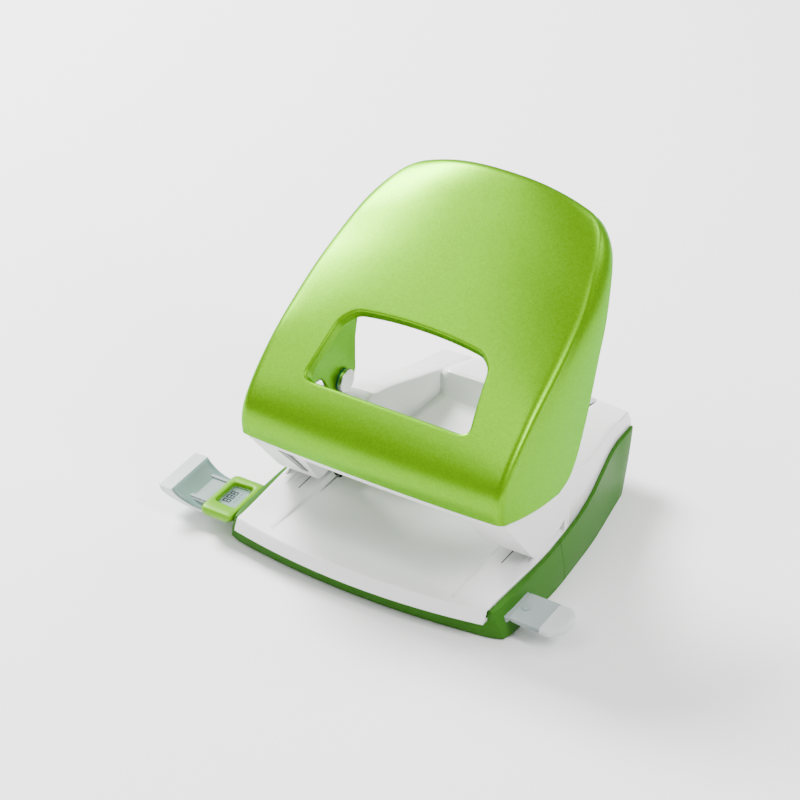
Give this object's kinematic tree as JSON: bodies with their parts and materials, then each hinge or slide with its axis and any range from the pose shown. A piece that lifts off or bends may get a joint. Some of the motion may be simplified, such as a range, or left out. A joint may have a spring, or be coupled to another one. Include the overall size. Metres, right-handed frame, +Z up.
{
  "type": "hole punch",
  "caption": "Two-hole desk punch: wedge base with paper table, white housing, pressed lever handle with window, sliding paper guide.",
  "frame": {"origin": "on the desk under the front pad, on the mid plane, below the front corners of the paper table", "axes": "+X to the user's right along the line of the holes, +Y away from the user, +Z up from the desk"},
  "size_m": [0.1728, 0.1364, 0.136],
  "materials": {
    "handle_paint": "metallic flake paint",
    "base_green": "satin moulded",
    "white_plastic": "satin moulded",
    "guide_plastic": "translucent",
    "lens": "clear",
    "frame_steel": "zinc plated",
    "bright_steel": "ground",
    "spring_steel": "oiled",
    "bronze": "sintered",
    "rubber": "matte"
  },
  "bodies": {
    "base": {"base_front": "base_green", "flap_pins": "bright_steel", "front_pad": "rubber", "paper_table": "white_plastic", "scale_frame": "base_green", "scale_lens": "lens", "housing": "white_plastic", "rear_cover": "white_plastic", "paper_stop": "frame_steel", "base_plate": "frame_steel", "punch_frame_left": "frame_steel", "punch_frame_right": "frame_steel", "guide_bushes": "bronze", "axle_left": "bright_steel", "axle_right": "bright_steel", "axle_clips": "spring_steel", "frame_screws": "bright_steel", "spring_left": "spring_steel", "spring_right": "spring_steel", "detent_spring": "spring_steel"},
    "flap": {"chip_flap": "base_green", "rear_pads": "rubber"},
    "lever": {"handle": "handle_paint", "hinge_lug_left": "frame_steel", "hinge_lug_right": "frame_steel", "drive_pin_left": "bright_steel", "drive_pin_right": "bright_steel", "pin_collars": "bright_steel"},
    "left_punch": {"punch_left": "bright_steel", "punch_clip_left": "spring_steel"},
    "right_punch": {"punch_right": "bright_steel", "punch_clip_right": "spring_steel"},
    "guide": {"guide_bar": "guide_plastic", "guide_stop": "guide_plastic", "guide_latch": "guide_plastic", "latch_rivet": "guide_plastic"}
  },
  "joints": [
    {"name": "handle_hinge", "type": "hinge", "parent": "base", "child": "lever", "pos_m": [0, 0.01807, 0.04183], "axis": [-1, 0, 0], "range_deg": [0, 17.3], "stiffness_Nm_per_rad": 1, "springref_deg": -20.05},
    {"name": "left_punch_slide", "type": "slide", "parent": "base", "child": "left_punch", "axis": [0, 0.0698, -0.9976], "range_m": [0, 0.0079], "deforming": ["spring_left"]},
    {"name": "right_punch_slide", "type": "slide", "parent": "base", "child": "right_punch", "axis": [0, 0.0698, -0.9976], "range_m": [0, 0.0079], "deforming": ["spring_right"]},
    {"name": "flap_hinge", "type": "hinge", "parent": "base", "child": "flap", "pos_m": [0, 0.0288, 0.0041], "axis": [-1, 0, 0], "range_deg": [0, 50]},
    {"name": "guide_slide", "type": "slide", "parent": "base", "child": "guide", "axis": [-1, 0, 0], "range_m": [0, 0.062]}
  ],
  "couplings": [
    {"joint": "left_punch_slide", "follows": "handle_hinge", "m_per_rad": 0.026164},
    {"joint": "right_punch_slide", "follows": "handle_hinge", "m_per_rad": 0.026164}
  ]
}
